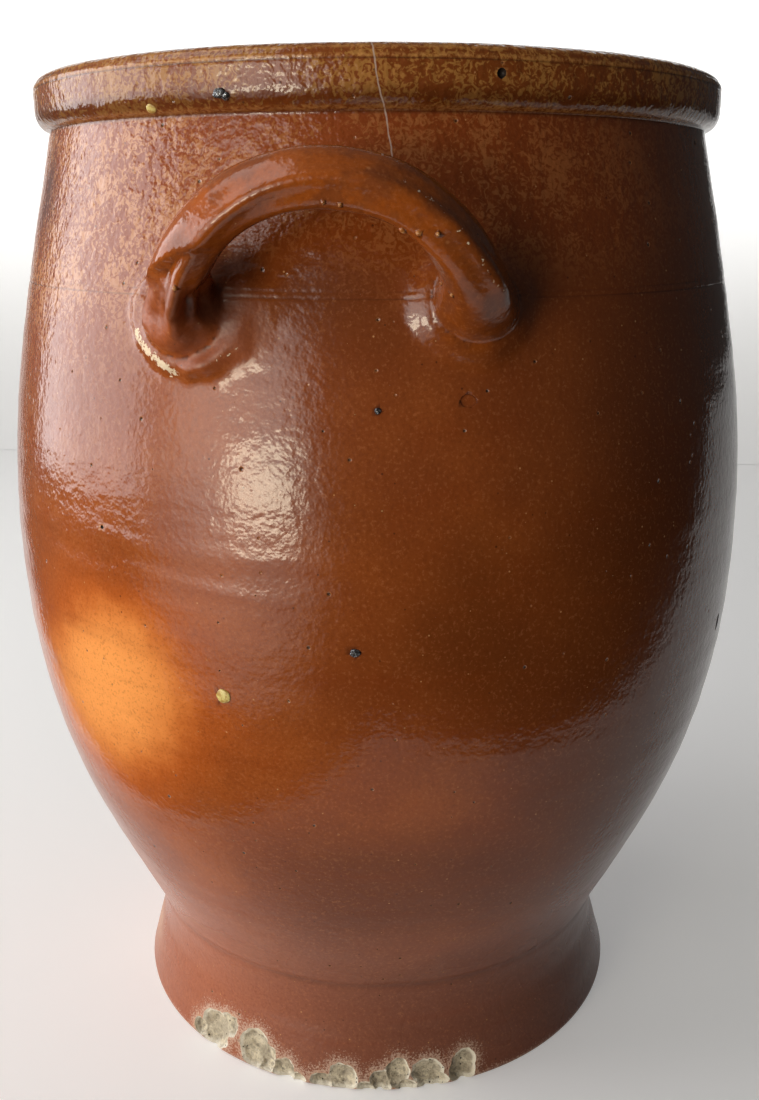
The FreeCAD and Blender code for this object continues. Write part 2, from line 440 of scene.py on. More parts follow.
def handle_middle(places):
    """Middle of the roll at each place: right root at 0, top of the arch at 0.5, left root at 1."""
    top = np.array([0.0, -wall_radius_at(arch_height) - arch_reach, arch_height])
    halves = []
    for side, height in (right_root, left_root):
        end = np.array([side, -math.sqrt(wall_radius_at(height) ** 2 - side**2), height])
        out = math.copysign(1, side)
        first = end + np.array([out * root_splay, -root_out, root_up])
        halves.append((end, first, top + np.array([out * arch_run, 0, 0]), top))
    right = bezier(*halves[0], np.clip(places * 2, 0, 1))
    left = bezier(*halves[1], np.clip(2 - places * 2, 0, 1))
    return np.where((places < 0.5)[:, None], right, left)


def handle_stations(count):
    """Middle, direction, outward side and share of the way at even steps along the roll."""
    places = np.linspace(0, 1, 2000)
    path = handle_middle(places)
    walked = np.concatenate([[0], np.cumsum(np.linalg.norm(np.diff(path, axis=0), axis=1))])
    from_start = np.linspace(0, walked[-1], count)
    middle = np.stack([np.interp(from_start, walked, path[:, k]) for k in range(3)], 1)
    share = np.interp(from_start, walked, places)
    along = np.gradient(middle, axis=0)
    along /= np.linalg.norm(along, axis=1)[:, None]
    loop_middle = np.array([0, (path[0, 1] + path[-1, 1]) / 2, (path[0, 2] + path[-1, 2]) / 2])
    out = middle - loop_middle
    out -= along * (out * along).sum(1)[:, None]
    out /= np.linalg.norm(out, axis=1)[:, None]
    return middle, along, out, share, from_start


def handle_section(share, station, degrees, from_root):
    """How far the roll reaches outward and to its front, at each turn about each station."""
    c, s = np.cos(np.radians(degrees)), np.sin(np.radians(degrees))
    # The roll is thinnest at the top of the arch, and swells and flares towards each root
    up_limb = np.abs(share - 0.5) * 2
    limb = up_limb**2
    flare = up_limb**6
    left = share > 0.5
    half_out = 8.5 + 1.8 * limb + np.where(left, 7.0, 5.5) * flare
    half_front = 9.5 + 0.5 * limb + np.where(left, 4.5, 3.5) * flare
    # Upper ridge, full front, and two low swells below: turn, height and width
    ridge_turn = np.interp(share, (0.1, 0.5, 0.74), (30.0, 48.0, 74.0))[station]
    full_front = 1.1 * (1 - smooth_step(0.52, 0.7, share))[station]
    swells = ((ridge_turn, 2.4, 17), (ridge_turn + 52, full_front, 28), (215, 0.4, 30), (300, 0.9, 30))
    lift = np.zeros(len(c))
    for swell_turn, height, width in swells:
        lift += height * hump(turned_from(degrees, swell_turn), 0, width)
    lift = (lift - 0.75) * (0.3 + 0.7 * smooth_step(2, 20, from_root))
    outward, frontward = c * (half_out[station] + lift), s * (half_front[station] + lift)
    # The upper face of the left limb is pressed flat, behind the ridge
    flat_turn = np.radians(ridge_turn - 38)
    flat_reach = (half_out + half_front)[station] / 2 + 0.5
    over = outward * np.cos(flat_turn) + frontward * np.sin(flat_turn) - flat_reach
    over = np.maximum(over, 0) * smooth_step(0.5, 0.66, share)[station]
    return outward - over * np.cos(flat_turn), frontward - over * np.sin(flat_turn)


def handle_mesh(torn):
    """Pulled roll of the -Y handle, closed at both ends inside the wall."""
    stations, around = 126, 44
    middle, along, out, share, from_start = handle_stations(stations)
    front = -np.cross(along, out)
    turns = np.linspace(0, 360, around, endpoint=False)
    station, spin = np.meshgrid(np.arange(stations), turns, indexing="ij")
    station, degrees = station.ravel(), spin.ravel()
    c, s = np.cos(np.radians(degrees)), np.sin(np.radians(degrees))
    length = from_start[-1]
    from_root = np.minimum(from_start, length - from_start)[station]
    outward, frontward = handle_section(share, station, degrees, from_root)
    normal = out[station] * c[:, None] + front[station] * s[:, None]
    points = middle[station] + out[station] * outward[:, None] + front[station] * frontward[:, None]

    # Fingers leave long soft flats along the roll and small dents
    pulled = np.stack([from_start[station] / 9.0, c * 9, s * 9], 1)
    lift = 0.35 * soft_noise(pulled, 5.0, 41) + 0.30 * soft_noise(points, 17.0, 42)
    lift += 0.10 * soft_noise(points, 5.0, 43)
    if torn:
        lift += torn_root_lift((length - from_start)[station], degrees, points)
    points = points + normal * lift[:, None]

    faces = []
    for k in range(stations - 1):
        for j in range(around):
            n = (j + 1) % around
            faces.append((k * around + j, (k + 1) * around + j, (k + 1) * around + n, k * around + n))
    # Both ends run on into the wall and are closed there
    sunk_depth = 7.0
    for k, way in ((0, -1.0), (stations - 1, 1.0)):
        ring = [k * around + j for j in range(around)]
        sunk = points[ring] + along[k] * way * sunk_depth
        first = len(points)
        points = np.vstack([points, sunk, [sunk.mean(0)]])
        for j in range(around):
            n = (j + 1) % around
            faces.append((ring[j], ring[n], first + n, first + j))
            faces.append((first + j, first + n, first + around))
    return points, faces


def torn_root_lift(from_end, degrees, points):
    """Left root of the front handle: the upper face ends in a torn tip, with folds in the clay below it."""
    def facing(middle, width):
        return hump(turned_from(degrees, middle), 0, width)

    signed = turned_from(degrees, 0)
    ragged = soft_noise(np.stack([signed / 9, signed * 0, signed * 0], 1), 1.0, 51)
    end_of_flap = 20.0 + 0.30 * np.clip(signed, -20, 82) + 1.6 * ragged
    past_flap = from_end - end_of_flap
    flap = 1.2 * facing(34, 44) * smooth_step(-0.8, 0.4, past_flap)
    flap = flap * (1 - smooth_step(6.0, 26.0, past_flap))
    under = -3.4 * facing(36, 46) * (1 - smooth_step(-0.9, 0.1, past_flap))
    under = under * smooth_step(3.0, 12.0, from_end)
    fold = 2.4 * facing(80, 9) * smooth_step(7.0, 11.0, from_end) * (1 - smooth_step(22.0, 30.0, from_end))
    upper_trough = -1.8 * facing(60, 11) * hump(from_end, 15.0, 8.0)
    trough = upper_trough - 2.4 * facing(110, 14) * hump(from_end, 17.0, 9.0)
    hollow = -4.4 * facing(150, 32) * hump(from_end, 17.0, 10.0)
    creased = layered_noise(points * np.array([1.0, 1.0, 0.6]), 4.2, 47, 2)
    creased = creased + 0.4 * soft_noise(points, 1.8, 49)
    return flap + under + fold + trough + hollow + creased * (1 - smooth_step(18.0, 32.0, from_end))


def wall_point(angle, height, off=0.0):
    """Point on the outside at an angle and a height, off the wall by a distance."""
    if height < foot_flare_height:
        r = foot_radius - (foot_radius - foot_flare_radius) * height / foot_flare_height
    else:
        r = wall_radius_at(height)
    turn = math.radians(angle)
    return np.array([(r + off) * math.sin(turn), -(r + off) * math.cos(turn), height])


def lump(size, seed, rough, detail):
    """Lumpy ball with its three half sizes, about the origin."""
    ball = bmesh.new()
    bmesh.ops.create_icosphere(ball, subdivisions=detail, radius=1.0)
    points = np.array([v.co[:] for v in ball.verts])
    faces = [tuple(v.index for v in f.verts) for f in ball.faces]
    ball.free()
    return points * (1 + rough * layered_noise(points, 0.9, seed, 3))[:, None] * np.array(size), faces


def set_facing(points, middle, normal):
    """Points made with -Y as their outside, turned to face along normal and moved to middle."""
    normal = np.array(normal) / np.linalg.norm(normal)
    across = np.cross([0, 0, 1], normal)
    across /= np.linalg.norm(across)
    upward = np.cross(normal, across)
    return middle + points @ np.stack([across, -normal, upward])


def combine(use, tool, kind):
    """Boolean of an object with a tool, which is then removed."""
    step = use.modifiers.new("combine", "BOOLEAN")
    step.operation = kind
    step.solver = "MANIFOLD"
    step.material_mode = "INDEX"
    step.object = tool
    done = bpy.data.meshes.new_from_object(use.evaluated_get(bpy.context.evaluated_depsgraph_get()))
    use.modifiers.clear()
    old = use.data
    use.data = done
    bpy.data.meshes.remove(old)
    bpy.data.objects.remove(tool)


# Chips broken from the foot's edge: angle, height of the middle, width, height and bite
foot_chips = [
    (-39.6, 5.5, 8.0, 9.0, 3.6),
    (-34.4, 10.5, 18.5, 19.0, 4.6),
    (-30.8, 15.0, 11.0, 11.0, 3.0),
    (-22.8, 12.0, 17.0, 19.0, 4.2),
    (-20.0, 8.0, 12.0, 14.0, 4.0),
    (-15.5, 4.5, 12.0, 13.0, 3.4),
    (-12.0, 1.5, 9.0, 9.0, 2.6),
    (-6.5, 3.5, 11.0, 9.0, 3.0),
    (-2.2, 6.0, 14.5, 14.5, 3.6),
    (3.0, 1.5, 12.0, 8.0, 2.8),
    (6.0, 5.0, 10.0, 12.0, 3.2),
    (9.8, 9.5, 11.0, 14.0, 3.8),
    (12.0, 2.0, 11.0, 9.0, 3.0),
    (16.4, 9.0, 15.0, 12.0, 3.4),
    (17.6, 3.0, 15.0, 10.0, 3.2),
    (24.2, 8.0, 13.0, 18.0, 4.2),
]


def chip_tools():
    """Lumpy balls that break the chips out of the foot's edge."""
    made = []
    for k, (angle, height, width, tall, bite) in enumerate(foot_chips):
        ball = (width * width / 4 + bite * bite) / (2 * bite)
        points, faces = lump((ball, ball, ball * tall / width), 60 + k, 0.09, 5)
        points += 0.55 * layered_noise(points, 2.6, 160 + k, 2)[:, None] * points / ball
        middle = wall_point(angle, height, ball - bite)
        turn = math.radians(angle)
        points = set_facing(points, middle, (math.sin(turn), -math.cos(turn), 0))
        made.append(mesh_object(f"chip_{k}", points, faces, CLAY))
    return made


def pixel_ray(pixel):
    """Direction from the camera through a pixel of the photograph."""
    level = math.cos(camera_tilt)
    ahead = [-math.sin(camera_turn) * level, math.cos(camera_turn) * level, -math.sin(camera_tilt)]
    ahead = np.array(ahead)
    rightward = np.array([math.cos(camera_turn), math.sin(camera_turn), 0.0])
    upward = np.cross(rightward, ahead)
    across, down = pixel[0] - middle_pixel[0], pixel[1] - middle_pixel[1]
    ray = ahead * focal_pixels + rightward * across - upward * down
    return ray / np.linalg.norm(ray)


# Specks stuck in the glaze, at their pixel in the photograph: width, height, how far out, material
specks = [
    ((220, 93), 4.6, 3.4, 1.5, SLAG),
    ((226, 96), 3.0, 2.6, 1.1, SLAG),
    ((216, 95), 2.6, 2.0, 0.9, SLAG),
    ((355, 653), 3.6, 3.0, 1.2, SLAG),
    ((378, 411), 2.4, 2.2, 0.8, SLAG),
    ((223, 696), 5.6, 5.6, 0.7, FLECK),
    ((151, 109), 4.0, 3.4, 0.5, FLECK),
    ((403, 230), 1.6, 2.6, 1.0, GLAZE),
    ((419, 233), 2.0, 1.8, 0.9, GLAZE),
    ((438, 234), 1.5, 1.5, 0.8, GLAZE),
    ((323, 202), 1.6, 1.6, 0.7, GLAZE),
    ((175, 288), 1.8, 1.8, 0.9, GLAZE),
    ((340, 205), 1.3, 1.3, 0.6, GLAZE),
    ((441, 283), 1.3, 1.3, 0.6, GLAZE),
    ((452, 295), 1.6, 1.3, 0.7, GLAZE),
]

# Small hollows at their pixel in the photograph: width, height, depth and material
hollows = [
    ((502, 73), 3.0, 3.0, 1.8, DARK),
    ((469, 401), 5.8, 4.4, 0.22, GLAZE),
    ((717, 622), 4.0, 8.0, 1.6, DARK),
    ((398, 1075), 2.6, 3.0, 2.2, DARK),
    ((205, 1033), 2.0, 2.0, 1.2, DARK),
    ((695, 143), 1.8, 1.8, 0.9, DARK),
    ((102, 527), 1.8, 1.4, 0.8, DARK),
]


def on_surface(tree, pixel):
    """Point and outward direction of the pot where the camera's ray through a pixel meets it."""
    place, normal, _, _ = tree.ray_cast(Vector(camera_place * MM), Vector(pixel_ray(pixel)))
    return np.array(place) / MM, np.array(normal)


def seated_lumps(tree, name, rows, first_seed):
    """Lumpy ball at each row's pixel, with its width, height, depth and material."""
    made = []
    for k, (pixel, width, tall, depth, material) in enumerate(rows):
        place, normal = on_surface(tree, pixel)
        points, faces = lump((width / 2, depth, tall / 2), first_seed + k, 0.14, 3)
        made.append(mesh_object(f"{name}_{k}", set_facing(points, place, normal), faces, material))
    return made


def read_mesh(items, name, width=1, kind=np.float64):
    """Value, or row of values, of each vertex, edge, loop or face."""
    values = np.empty(len(items) * width, dtype=kind)
    items.foreach_get(name, values)
    return values.reshape(-1, width) if width > 1 else values


def edge_materials(mesh):
    """Ends of each edge, and the lowest and highest material of the faces that meet there."""
    loop_edges = read_mesh(mesh.loops, "edge_index", kind=np.int32)
    sides = read_mesh(mesh.polygons, "loop_total", kind=np.int32)
    loop_kind = np.repeat(read_mesh(mesh.polygons, "material_index", kind=np.int32), sides)
    lowest = np.full(len(mesh.edges), 99)
    highest = np.full(len(mesh.edges), -1)
    np.minimum.at(lowest, loop_edges, loop_kind)
    np.maximum.at(highest, loop_edges, loop_kind)
    return read_mesh(mesh.edges, "vertices", 2, np.int32), lowest, highest


def vertex_points(mesh):
    return read_mesh(mesh.vertices, "co", 3) / MM


def tree_of(points):
    tree = KDTree(len(points))
    for k, place in enumerate(points):
        tree.insert(place, k)
    tree.balance()
    return tree


def soften_seams(mesh, seams):
    """Smooths the mesh where the handles meet the wall."""
    shape = bmesh.new()
    shape.from_mesh(mesh)
    tree = tree_of(seams * MM)
    everywhere = {"use_axis_x": True, "use_axis_y": True, "use_axis_z": True}
    for reach, turns in ((4.5, 4), (2.5, 5)):
        near = [v for v in shape.verts if tree.find(v.co)[2] < reach * MM]
        for _ in range(turns):
            bmesh.ops.smooth_vert(shape, verts=near, factor=0.5, **everywhere)
    shape.to_mesh(mesh)
    shape.free()


def distance_to(points, seeds, reach):
    """Distance from each point to the nearest of the seeds, up to reach."""
    tree = tree_of(seeds)
    low, high = seeds.min(0) - reach, seeds.max(0) + reach
    near = np.flatnonzero(((points > low) & (points < high)).all(1))
    found = np.full(len(points), float(reach))
    for k in near:
        found[k] = min(reach, tree.find(points[k])[2])
    return found


def set_values(mesh, name, values):
    """One number per point, for the materials to read."""
    mesh.attributes.new(name, "FLOAT", "POINT").data.foreach_set("value", values.astype(np.float32))


def outward_bend(mesh):
    """How sharply the surface bends outward at each point, in 1/mm."""
    points = vertex_points(mesh)
    ends = read_mesh(mesh.edges, "vertices", 2, np.int32)
    step = points[ends[:, 1]] - points[ends[:, 0]]
    span = np.maximum((step**2).sum(1), 0.04)
    pull = np.zeros((len(points), 3))
    np.add.at(pull, ends[:, 0], step / span[:, None])
    np.add.at(pull, ends[:, 1], -step / span[:, None])
    count = np.bincount(ends.ravel(), minlength=len(points))
    bend = -(pull * read_mesh(mesh.vertices, "normal", 3)).sum(1) / count
    around = np.bincount(ends[:, 0], bend[ends[:, 1]], len(points))
    around += np.bincount(ends[:, 1], bend[ends[:, 0]], len(points))
    return (bend + around / count) / 2


def drawn_line(tree, pixels):
    """Points on the pot, close together along a line through pixels of the photograph."""
    corners = np.array(pixels, dtype=float)
    count = 4 * len(corners)
    share = np.linspace(0, len(corners) - 1, count)
    x, y = (np.interp(share, np.arange(len(corners)), corners[:, k]) for k in (0, 1))
    return np.array([on_surface(tree, pixel)[0] for pixel in zip(x, y)])


# Torn edge of the clay at the left root, where pale body shows, a pale line of painted highlight along the
# pad's lower edge, and the pale ridge of the right limb, in pixels of the photograph
torn_edge = [(136, 334), (141, 344), (150, 355), (160, 364), (174, 373)]
pad_highlight_edge = [(207, 366), (222, 359), (240, 347)]
ridge_edge = [(405, 180), (440, 205), (468, 240), (490, 275), (503, 292)]

# Line beside the left root where shade is painted in the deep hollow, and the pressed clay of that root, in
# pixels too
root_shade_line = [(212, 306), (226, 284), (240, 272)]
left_foot = [(158, 318), (190, 338), (222, 330)]


def mottled(z, angle, wavy, leftward, behind, rim, bare_of_salt):
    """Salt mottling: strong on the rim and neck, fading over the shoulder and to the right."""
    faded = blend(0.75 * smooth_step(24 + 8 * wavy, 50 + 8 * wavy, angle), 0.3, behind)
    low = 334 - 40 * leftward + 12 * wavy
    high = 368 - 20 * leftward + 12 * wavy
    mottle = smooth_step(low, high, z) * (1 - faded)
    mottle = np.maximum(mottle, 0.26 * smooth_step(225, 300, z) * leftward)
    return np.maximum(mottle, rim) * (1 - 0.85 * bare_of_salt)


def fired_tints(z, angle, wavy, fine, behind):
    """Shares of tints that differ round the pot and up it: tints the fire left, and painted shade on the
    right, low in the middle and on the foot's right.
    """
    # Honey orange low on the left of the belly
    warm = hump(angle, -35, 19 + 3 * wavy) * hump(z, 192 + 0.5 * (angle + 36) + 10 * wavy, 42)
    # Painted shade: darker on the right side, away from the light, and low in the middle
    right_and_low_shade = smooth_step(-16 + 14 * wavy, 46 + 14 * wavy, angle)
    low_middle_shade = 0.85 * smooth_step(-28, 2, angle) * (1 - smooth_step(130, 190, z + 12 * wavy))
    right_and_low_shade = blend(np.maximum(right_and_low_shade, low_middle_shade), 0.5, behind) * smooth_step(62, 104, z)
    return {
        "warm": warm,
        "right_and_low_shade": right_and_low_shade,
        # Foot and lower wall fired pinker, with a thinner glaze
        "rosy": 1 - smooth_step(58 + 10 * wavy, 105 + 18 * wavy, z),
        # Smoke stain under the rim on the left
        "smoke": hump(angle, -57, 5) * hump(z, 376, 17) * (0.6 + 0.4 * fine),
        # Painted shade: the foot's pink goes darker towards the right
        "shade_to_right": blend(smooth_step(-42, 14, angle), 0.5, behind),
        "lower": 1 - smooth_step(110, 225, z),
    }


def worn_share(mesh, points, z, angle, fine):
    """Glaze rubbed through beside the chips, along the foot and at one place on the foot's left."""
    ends, lowest, highest = edge_materials(mesh)
    border = points[np.unique(ends[(lowest == GLAZE) & (highest == CLAY)])]
    chipped = 1 - distance_to(points, border, 9.0) / 9.0
    worn = np.maximum(chipped, 0.8 * (1 - smooth_step(1.5, 6.0 + 2 * fine, z)))
    return np.maximum(worn, hump(angle, -76, 12) * hump(z, 18, 16))


def torn_share(points, tree):
    """Bare clay along the torn edge at the left root and along the right limb's ridge, and a painted
    highlight line along the pad's lower edge.
    """
    torn = 1 - smooth_step(1.4, 3.0, distance_to(points, drawn_line(tree, torn_edge), 4.0))
    for thin in (pad_highlight_edge, ridge_edge):
        near = distance_to(points, drawn_line(tree, thin), 2.0)
        torn = np.maximum(torn, 0.6 * (1 - smooth_step(0.5, 1.6, near)))
    return torn


def pool_and_shade_share(points, z, radius, fine, bend, tree):
    """Darkening: painted shade under the rim and beside the left root, and glaze gathered dark with painted
    shade in concave places and in the crease.
    """
    shade_under_rim = 0.75 * hump(z, neck_height + 3.5, 3.2) * (radius > neck_radius - 1)
    pooled_and_shade = np.maximum(smooth_step(0.05, 0.22, -bend), shade_under_rim)
    shaded_root = distance_to(points, drawn_line(tree, root_shade_line), 18.0)
    pooled_and_shade = np.maximum(pooled_and_shade, 1.0 - smooth_step(3.0, 13.0, shaded_root))
    level = points * np.array([1.0, 1.0, 0.0])
    creased = (0.34 + 0.2 * fine) * hump(z, crease_line_height + crease_wander(level), 1.8)
    return np.maximum(pooled_and_shade, creased * (radius > waist_radius - 4))


def inside_share(z, radius):
    """1 on the inside of the pot, by a line that runs through the middle of the wall."""
    heights = [0, base_thickness, crease_height, belly_height, neck_height, pot_height]
    middles = [0, 60, crease_radius - 5, belly_radius - 5, neck_radius - 5, mouth_radius + 4]
    return ((radius < np.interp(z, heights, middles)) & (z > base_thickness - 1)) * 1.0


def thin_share(z, radius, bend):
    """Glaze drawn thin over sharp edges and along three lines of the rim."""
    thin = smooth_step(0.10, 0.32, bend)
    for height in (rim_line_height + 0.9, rim_line_height + 3.6, neck_height + 0.4):
        thin = np.maximum(thin, 0.9 * hump(z, height, 0.55) * (radius > neck_radius - 1))
    return thin


def paint_zones(mesh, tree):
    """Shares of each tint over the surface, as numbers on the points."""
    points = vertex_points(mesh)
    z = points[:, 2]
    angle = np.degrees(np.arctan2(points[:, 0], -points[:, 1]))
    radius = np.hypot(points[:, 0], points[:, 1])
    wavy = layered_noise(points, 60.0, 201, 3)
    fine = layered_noise(points, 14.0, 211, 3)
    path = handle_middle(np.linspace(0.03, 0.97, 160))
    paths = np.vstack([path, path * np.array([-1, -1, 1])])
    roll = 1 - smooth_step(14.0, 18.0, distance_to(points, paths, 20.0))
    rim = smooth_step(neck_height - 0.5, neck_height + 2.0, z)
    # Both ends of the range of angles meet at one value behind the pot
    behind = smooth_step(110, 176, np.abs(angle))
    leftward = blend(smooth_step(-6, -34, angle), 0.5, behind)
    under_arch = hump(angle, -2, 15) * hump(z, 347, 16)
    bend = outward_bend(mesh)
    from_foot = distance_to(points, drawn_line(tree, left_foot), 24.0)
    zones = fired_tints(z, angle, wavy, fine, behind)
    zones.update({
        "mottle": mottled(z, angle, wavy, leftward, behind, rim, np.maximum(roll, under_arch)),
        "rim": rim,
        "roll": roll,
        "leftward": leftward,
        # Painted shade under the handle's arch
        "shade_under_arch": under_arch,
        "worn": worn_share(mesh, points, z, angle, fine),
        "torn": torn_share(points, tree),
        "inside": inside_share(z, radius),
        "thin": thin_share(z, radius, bend),
        "pooled_and_shade": pool_and_shade_share(points, z, radius, fine, bend, tree),
        "scorched": 1 - smooth_step(9.0 + 3 * fine, 18.0 + 3 * fine, from_foot),
    })
    for name, values in zones.items():
        set_values(mesh, name, np.clip(values, 0, 1))


# Ends of the fine crack that runs down from the rim to the handle, in pixels of the photograph
crack_pixels = [(373, 50), (391, 148)]

# How far the crack wanders, and where its half width starts and ends to fade, in metres
crack_wander = 0.0016
crack_half_width = (0.0001, 0.00038)

# Relief of the glaze's skin and of the broken clay, in metres for a height of 1
peel_relief = 0.00006
clay_relief = 0.0005


def join_handles(pot):
    """Both handles joined to the body, with soft seams."""
    front_points, faces = handle_mesh(torn=True)
    back_points, _ = handle_mesh(torn=False)
    back_points = back_points * np.array([-1, -1, 1])
    for name, roll_points in (("front_roll", front_points), ("back_roll", back_points)):
        combine(pot, mesh_object(name, roll_points, faces, CLAY), "UNION")
    mesh = pot.data
    ends, lowest, highest = edge_materials(mesh)
    soften_seams(mesh, vertex_points(mesh)[np.unique(ends[lowest != highest])])
    all_glaze = np.full(len(mesh.polygons), GLAZE, dtype=np.int32)
    mesh.polygons.foreach_set("material_index", all_glaze)


def build_pot():
    """Whole pot as one closed mesh, and the ends of its crack."""
    pot = mesh_object("pot_glazed", *body_mesh())
    join_handles(pot)
    tree = BVHTree.FromObject(pot, bpy.context.evaluated_depsgraph_get())
    lumps = seated_lumps(tree, "speck", specks, 120)
    cutters = chip_tools() + seated_lumps(tree, "hollow", hollows, 90)
    for piece in lumps:
        combine(pot, piece, "UNION")
    for tool in cutters:
        combine(pot, tool, "DIFFERENCE")
    mesh = pot.data
    mesh.polygons.foreach_set("use_smooth", np.ones(len(mesh.polygons), dtype=bool))
    _, lowest, highest = edge_materials(mesh)
    sharp = mesh.attributes.get("sharp_edge") or mesh.attributes.new("sharp_edge", "BOOLEAN", "EDGE")
    sharp.data.foreach_set("value", lowest != highest)
    paint_zones(mesh, tree)
    return pot, [on_surface(tree, pixel)[0] * MM for pixel in crack_pixels]


class Nodes:
    """Short way to write the nodes of one material."""

    def __init__(self, tree):
        self.tree = tree

    def add(self, kind, out=0, **inputs):
        """Makes a node, sets or links its inputs by name or number and gives one of its outputs."""
        node = self.tree.nodes.new(kind)
        for key, value in inputs.items():
            if key[0] == "_":
                self.put(node.inputs[int(key[1:])], value)
            elif key[0].islower():
                setattr(node, key, value)
            else:
                self.put(node.inputs[key.replace("_", " ")], value)
        return node.outputs[out]

    def put(self, socket, value):
        if isinstance(value, bpy.types.NodeSocket):
            self.tree.links.new(value, socket)
        else:
            socket.default_value = value

    def math(self, operation, a, b=0.0, clamp=False):
        return self.add("ShaderNodeMath", operation=operation, use_clamp=clamp, _0=a, _1=b)

    def plus(self, a, b, clamp=False):
        return self.math("ADD", a, b, clamp)

    def minus(self, a, b):
        return self.math("SUBTRACT", a, b)

    def times(self, a, b):
        return self.math("MULTIPLY", a, b)

    def mix(self, share, a, b):
        """Colour between a and b, given as (r, g, b) or links."""
        node = self.tree.nodes.new("ShaderNodeMix")
        node.data_type = "RGBA"
        self.put(node.inputs[0], share)
        for socket, value in ((node.inputs[6], a), (node.inputs[7], b)):
            self.put(socket, value if isinstance(value, bpy.types.NodeSocket) else (*value, 1.0))
        return node.outputs[2]

    def layered(self, color, layers):
        """Colour with layers laid one over another, each by its share, strength and colour."""
        for share, strength, tint in layers:
            color = self.mix(self.times(share, strength), color, tint)
        return color

    def ramp(self, value, low, high):
        """0 below low and 1 above high."""
        return self.add(
            "ShaderNodeMapRange", interpolation_type="SMOOTHSTEP", Value=value, From_Min=low, From_Max=high
        )

    def value_of(self, name):
        return self.add("ShaderNodeAttribute", "Fac", attribute_name=name)

    def noise(self, place, size, detail=2.0, rough=0.5, warp=0.0):
        """Noise with features about size millimetres across."""
        shape = {"Detail": detail, "Roughness": rough, "Distortion": warp}
        return self.add("ShaderNodeTexNoise", "Fac", Vector=place, Scale=1 / (size * MM), **shape)

    def spots(self, place, spacing, largest, share, sets=1):
        """Sets of round dots at random places: 1 in a dot's middle, 0 at its edge and beyond."""
        distance = self.add("ShaderNodeTexVoronoi", "Distance", Vector=place, Scale=1 / (spacing * MM))
        picks = self.add("ShaderNodeSeparateColor", Color=distance.node.outputs["Color"]).node.outputs
        made = []
        for pick in picks[:sets]:
            size = self.times(self.ramp(pick, 1 - share, 1.0), largest / spacing)
            nearness = self.math("DIVIDE", distance, self.plus(size, 1e-4))
            made.append(self.math("MAXIMUM", self.minus(1.0, nearness), 0.0))
        return made

    def bump(self, distance, height):
        return self.add("ShaderNodeBump", Strength=1.0, Distance=distance, Height=height)


def srgb(r, g, b):
    """Linear colour of an 8-bit screen colour."""
    return tuple(((v / 255 + 0.055) / 1.055) ** 2.4 if v > 10 else v / 255 / 12.92 for v in (r, g, b))


def start_material(material):
    material.use_nodes = True
    material.node_tree.nodes.clear()
    nodes = Nodes(material.node_tree)
    return nodes, nodes.add("ShaderNodeTexCoord", "Object")


def finish_material(nodes, **inputs):
    shader = nodes.add("ShaderNodeBsdfPrincipled", **inputs)
    output = nodes.tree.nodes.new("ShaderNodeOutputMaterial")
    nodes.tree.links.new(shader, output.inputs["Surface"])


def glaze_color(n, place):
    """Brown orange: honey low on the left and pinker at the foot, with painted shade on the right, low in
    the middle, on the foot's right and under the handle's arch.
    """
    broad = n.noise(place, 48, 2, 0.55)
    medium = n.noise(place, 11, 3, 0.6)
    grain = n.noise(place, 1.3, 3, 0.7)
    flattened = n.add("ShaderNodeVectorMath", operation="MULTIPLY", _0=place, _1=(1.0, 1.0, 9.0))
    streak = n.noise(flattened, 90, 2, 0.6)
    warm = n.plus(n.value_of("warm"), n.times(n.minus(medium, 0.5), 0.25))
    # Foot pink as a lit copy on the left and a darker painted-shade copy on the right
    pinkish = n.mix(n.value_of("shade_to_right"), srgb(156, 94, 70), srgb(112, 68, 52))
    rolled = n.mix(n.ramp(medium, 0.4, 0.62), srgb(178, 88, 18), srgb(140, 72, 30))
    ground = n.mix(n.ramp(broad, 0.36, 0.66), srgb(137, 67, 26), srgb(154, 79, 31))
    return n.layered(ground, (
        (n.ramp(medium, 0.45, 0.75), 0.3, srgb(134, 58, 16)),
        (n.ramp(warm, 0.0, 0.7), 0.75, srgb(200, 98, 30)),
        (n.ramp(warm, 0.35, 1.0), 0.95, srgb(246, 160, 84)),
        (n.value_of("rosy"), 0.85, pinkish),
        (n.value_of("inside"), 0.6, srgb(118, 62, 28)),
        (n.value_of("roll"), 0.75, rolled),
        (n.value_of("scorched"), 0.55, srgb(152, 76, 40)),
        # Painted shade under the handle's arch, on the right side and low in the middle
        (n.value_of("shade_under_arch"), 0.55, srgb(76, 36, 12)),
        (n.value_of("right_and_low_shade"), 0.85, srgb(88, 43, 16)),
        (n.ramp(grain, 0.5, 0.68), 0.3, srgb(100, 46, 18)),
        (n.ramp(grain, 0.46, 0.32), 0.16, srgb(206, 136, 86)),
        (n.ramp(streak, 0.5, 0.8), 0.25, srgb(122, 52, 14)),
    ))


def glaze_freckles(n, place):
    """Curled tan freckles a millimetre or two across, thicker in some patches."""
    curled = n.noise(place, 2.7, 2, 0.55, 1.6)
    small = n.noise(place, 0.9, 1, 0.6)
    patches = n.noise(place, 21, 2, 0.6)
    total = n.plus(n.plus(curled, n.times(small, 0.3)), n.times(patches, 0.55))
    return n.ramp(total, 0.88, 1.05)


def crack_share(n, place, ends):
    """Share of the fine crack, which wanders a little about the line between its two ends."""
    top, foot = ends
    axes = n.add("ShaderNodeSeparateXYZ", "X", Vector=place).node.outputs
    slope = float((top[0] - foot[0]) / (top[2] - foot[2]))
    above = n.minus(axes["Z"], float(foot[2]))
    line = n.plus(n.times(above, slope), float(foot[0]))
    wander = n.times(n.minus(n.noise(place, 7, 2, 0.6), 0.5), crack_wander)
    off_line = n.math("ABSOLUTE", n.minus(n.plus(axes["X"], wander), line))
    front = n.math("LESS_THAN", axes["Y"], -0.12)
    in_span = n.times(n.math("GREATER_THAN", above, -0.004), front)
    return n.times(n.minus(1.0, n.ramp(off_line, *crack_half_width)), in_span)


